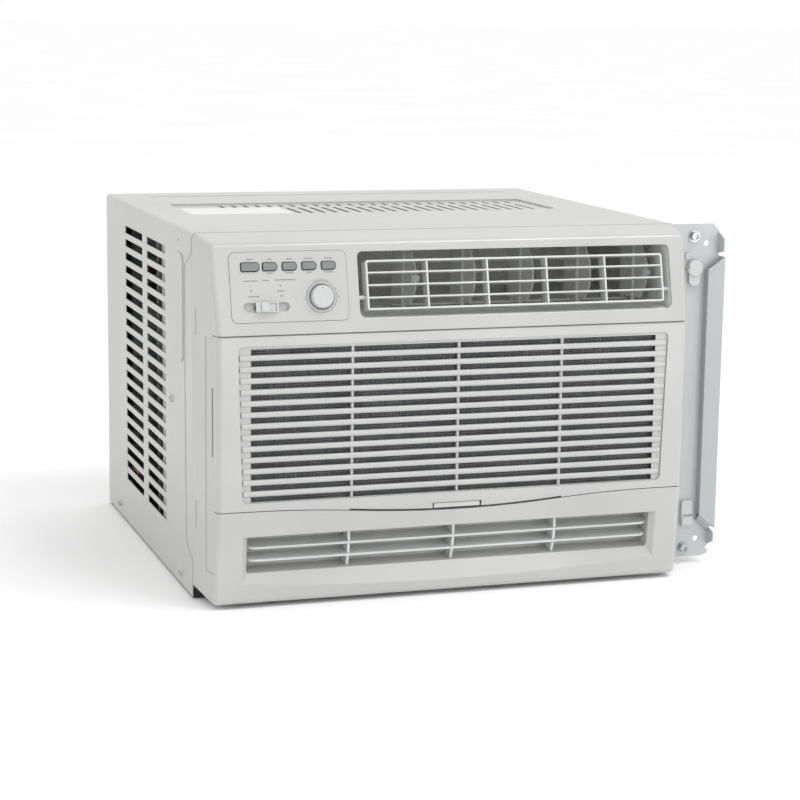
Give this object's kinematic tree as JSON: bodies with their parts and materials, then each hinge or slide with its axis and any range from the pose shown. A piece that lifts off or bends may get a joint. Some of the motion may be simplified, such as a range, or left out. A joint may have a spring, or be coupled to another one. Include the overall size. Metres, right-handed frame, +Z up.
{
  "type": "window air conditioner",
  "caption": "Boxy window air conditioner: sheet-metal cabinet with louvred sides and top, plastic front with slatted intake door, upper air outlet, push buttons, knob and side mounting frame.",
  "frame": {"origin": "middle of the cabinet in plan, on the underside of the base pan", "axes": "+X to the right along the front, +Y from the room side to the outdoor side, +Z up"},
  "size_m": [0.5344, 0.4722, 0.342],
  "materials": {
    "face_plastic": "fine matt moulded",
    "door_plastic": "fine matt moulded",
    "grey_plastic": "satin",
    "knob_plastic": "satin",
    "duct_plastic": "matt",
    "louver_plastic": "satin",
    "foam": "expanded bead foam",
    "black_plastic": "matt",
    "filter_net": "fine net",
    "case_paint": "baked enamel",
    "zinc_steel": "zinc coated",
    "steel": "plain",
    "black_paint": "satin enamel",
    "motor_paint": "satin enamel",
    "fin_aluminium": "mill",
    "copper": "drawn tube",
    "can_aluminium": "drawn",
    "black_rubber": "matt"
  },
  "bodies": {
    "cabinet": {"cabinet_wrap": "case_paint", "base_pan": "black_paint", "rear_guard": "case_paint", "cabinet_screws": "zinc_steel", "front_frame": "face_plastic", "lower_grille": "door_plastic", "lower_duct": "duct_plastic", "control_plate": "face_plastic", "selector_switch": "black_plastic", "thermostat": "steel", "control_box": "zinc_steel", "run_capacitor": "can_aluminium", "outlet_duct": "duct_plastic", "evaporator_fins": "fin_aluminium", "evaporator_end_plates": "zinc_steel", "evaporator_bends": "copper", "condenser_fins": "fin_aluminium", "condenser_end_plates": "zinc_steel", "condenser_bends": "copper", "compressor": "black_paint", "compressor_grommets": "black_rubber", "compressor_bolts": "zinc_steel", "accumulator": "copper", "suction_line": "black_rubber", "discharge_line": "copper", "liquid_line": "copper", "capillary_tube": "copper", "fan_motor": "motor_paint", "motor_bracket": "zinc_steel", "blower_scroll": "foam", "fan_shroud": "zinc_steel", "bulkhead": "zinc_steel", "drain_tray": "foam", "side_frame": "case_paint", "side_channel": "case_paint", "lower_clip": "knob_plastic", "frame_screws": "zinc_steel", "cord_grommet": "black_rubber"},
    "rotor": {"motor_shaft": "steel", "blower_wheel": "black_plastic", "condenser_fan": "black_plastic"},
    "door": {"intake_door": "door_plastic", "filter_frame": "knob_plastic", "filter_mesh": "filter_net"},
    "louver": {"louver_frame": "louver_plastic"},
    "tie_bar": {"vane_tie_bar": "duct_plastic"},
    "knob": {"thermostat_knob": "knob_plastic"},
    "slider": {"vent_slider": "grey_plastic"},
    "damper": {"vent_damper": "zinc_steel"},
    "latch": {"swivel_latch": "knob_plastic"},
    "button_off": {"button_off": "grey_plastic"},
    "button_fan_low": {"button_fan_low": "grey_plastic"},
    "button_fan_high": {"button_fan_high": "grey_plastic"},
    "button_cool_low": {"button_cool_low": "grey_plastic"},
    "button_cool_high": {"button_cool_high": "grey_plastic"},
    "vane_1": {"air_vane_1": "duct_plastic"},
    "vane_2": {"air_vane_2": "duct_plastic"},
    "vane_3": {"air_vane_3": "duct_plastic"},
    "vane_4": {"air_vane_4": "duct_plastic"},
    "vane_5": {"air_vane_5": "duct_plastic"}
  },
  "joints": [
    {"name": "fan_spin", "type": "hinge", "parent": "cabinet", "child": "rotor", "pos_m": [0.02, 0.04, 0.15], "axis": [0, 1, 0], "continuous": true},
    {"name": "door_hinge", "type": "hinge", "parent": "cabinet", "child": "door", "pos_m": [0, -0.262, 0.2512], "axis": [-1, 0, 0], "range_deg": [0, 80]},
    {"name": "louver_tilt", "type": "hinge", "parent": "cabinet", "child": "louver", "pos_m": [0, -0.25067, 0.28426], "axis": [1, 0, 0], "range_deg": [-15, 15]},
    {"name": "knob_turn", "type": "hinge", "parent": "cabinet", "child": "knob", "pos_m": [-0.1311, -0.25722, 0.28697], "axis": [0, -0.972, 0.2352], "range_deg": [-150, 150]},
    {"name": "vent_slide", "type": "slide", "parent": "cabinet", "child": "slider", "axis": [1, 0, 0], "range_m": [-0.009, 0.009]},
    {"name": "damper_hinge", "type": "hinge", "parent": "cabinet", "child": "damper", "pos_m": [-0.18, -0.0448, 0.3215], "axis": [1, 0, 0], "range_deg": [-20, 20]},
    {"name": "latch_turn", "type": "hinge", "parent": "cabinet", "child": "latch", "pos_m": [0.2625, -0.207, 0.298], "axis": [0, 1, 0], "range_deg": [0, 90]},
    {"name": "press_off", "type": "slide", "parent": "cabinet", "child": "button_off", "axis": [0, 0.972, -0.2352], "range_m": [0, 0.003], "stiffness_N_per_m": 300, "springref_m": -0.002},
    {"name": "press_fan_low", "type": "slide", "parent": "cabinet", "child": "button_fan_low", "axis": [0, 0.972, -0.2352], "range_m": [0, 0.003], "stiffness_N_per_m": 300, "springref_m": -0.002},
    {"name": "press_fan_high", "type": "slide", "parent": "cabinet", "child": "button_fan_high", "axis": [0, 0.972, -0.2352], "range_m": [0, 0.003], "stiffness_N_per_m": 300, "springref_m": -0.002},
    {"name": "press_cool_low", "type": "slide", "parent": "cabinet", "child": "button_cool_low", "axis": [0, 0.972, -0.2352], "range_m": [0, 0.003], "stiffness_N_per_m": 300, "springref_m": -0.002},
    {"name": "press_cool_high", "type": "slide", "parent": "cabinet", "child": "button_cool_high", "axis": [0, 0.972, -0.2352], "range_m": [0, 0.003], "stiffness_N_per_m": 300, "springref_m": -0.002},
    {"name": "vane_1_turn", "type": "hinge", "parent": "cabinet", "child": "vane_1", "pos_m": [-0.036, -0.205, 0.2965], "axis": [0, 0, 1], "range_deg": [-60, 19]},
    {"name": "vane_2_turn", "type": "hinge", "parent": "cabinet", "child": "vane_2", "pos_m": [0.02275, -0.205, 0.2965], "axis": [0, 0, 1], "range_deg": [-60, 19]},
    {"name": "vane_3_turn", "type": "hinge", "parent": "cabinet", "child": "vane_3", "pos_m": [0.0815, -0.205, 0.2965], "axis": [0, 0, 1], "range_deg": [-60, 19]},
    {"name": "vane_4_turn", "type": "hinge", "parent": "cabinet", "child": "vane_4", "pos_m": [0.14025, -0.205, 0.2965], "axis": [0, 0, 1], "range_deg": [-60, 19]},
    {"name": "vane_5_turn", "type": "hinge", "parent": "cabinet", "child": "vane_5", "pos_m": [0.199, -0.205, 0.2965], "axis": [0, 0, 1], "range_deg": [-60, 19]},
    {"name": "tie_bar_pivot", "type": "hinge", "parent": "vane_1", "child": "tie_bar", "pos_m": [-0.03962, -0.19148, 0.2686], "axis": [0, 0, 1], "range_deg": [-19, 60]}
  ],
  "couplings": [
    {"joint": "vane_2_turn", "follows": "vane_1_turn", "ratio": 1},
    {"joint": "vane_3_turn", "follows": "vane_1_turn", "ratio": 1},
    {"joint": "vane_4_turn", "follows": "vane_1_turn", "ratio": 1},
    {"joint": "vane_5_turn", "follows": "vane_1_turn", "ratio": 1},
    {"joint": "tie_bar_pivot", "follows": "vane_1_turn", "ratio": -1},
    {"joint": "damper_hinge", "follows": "vent_slide", "rad_per_m": 38.785}
  ]
}
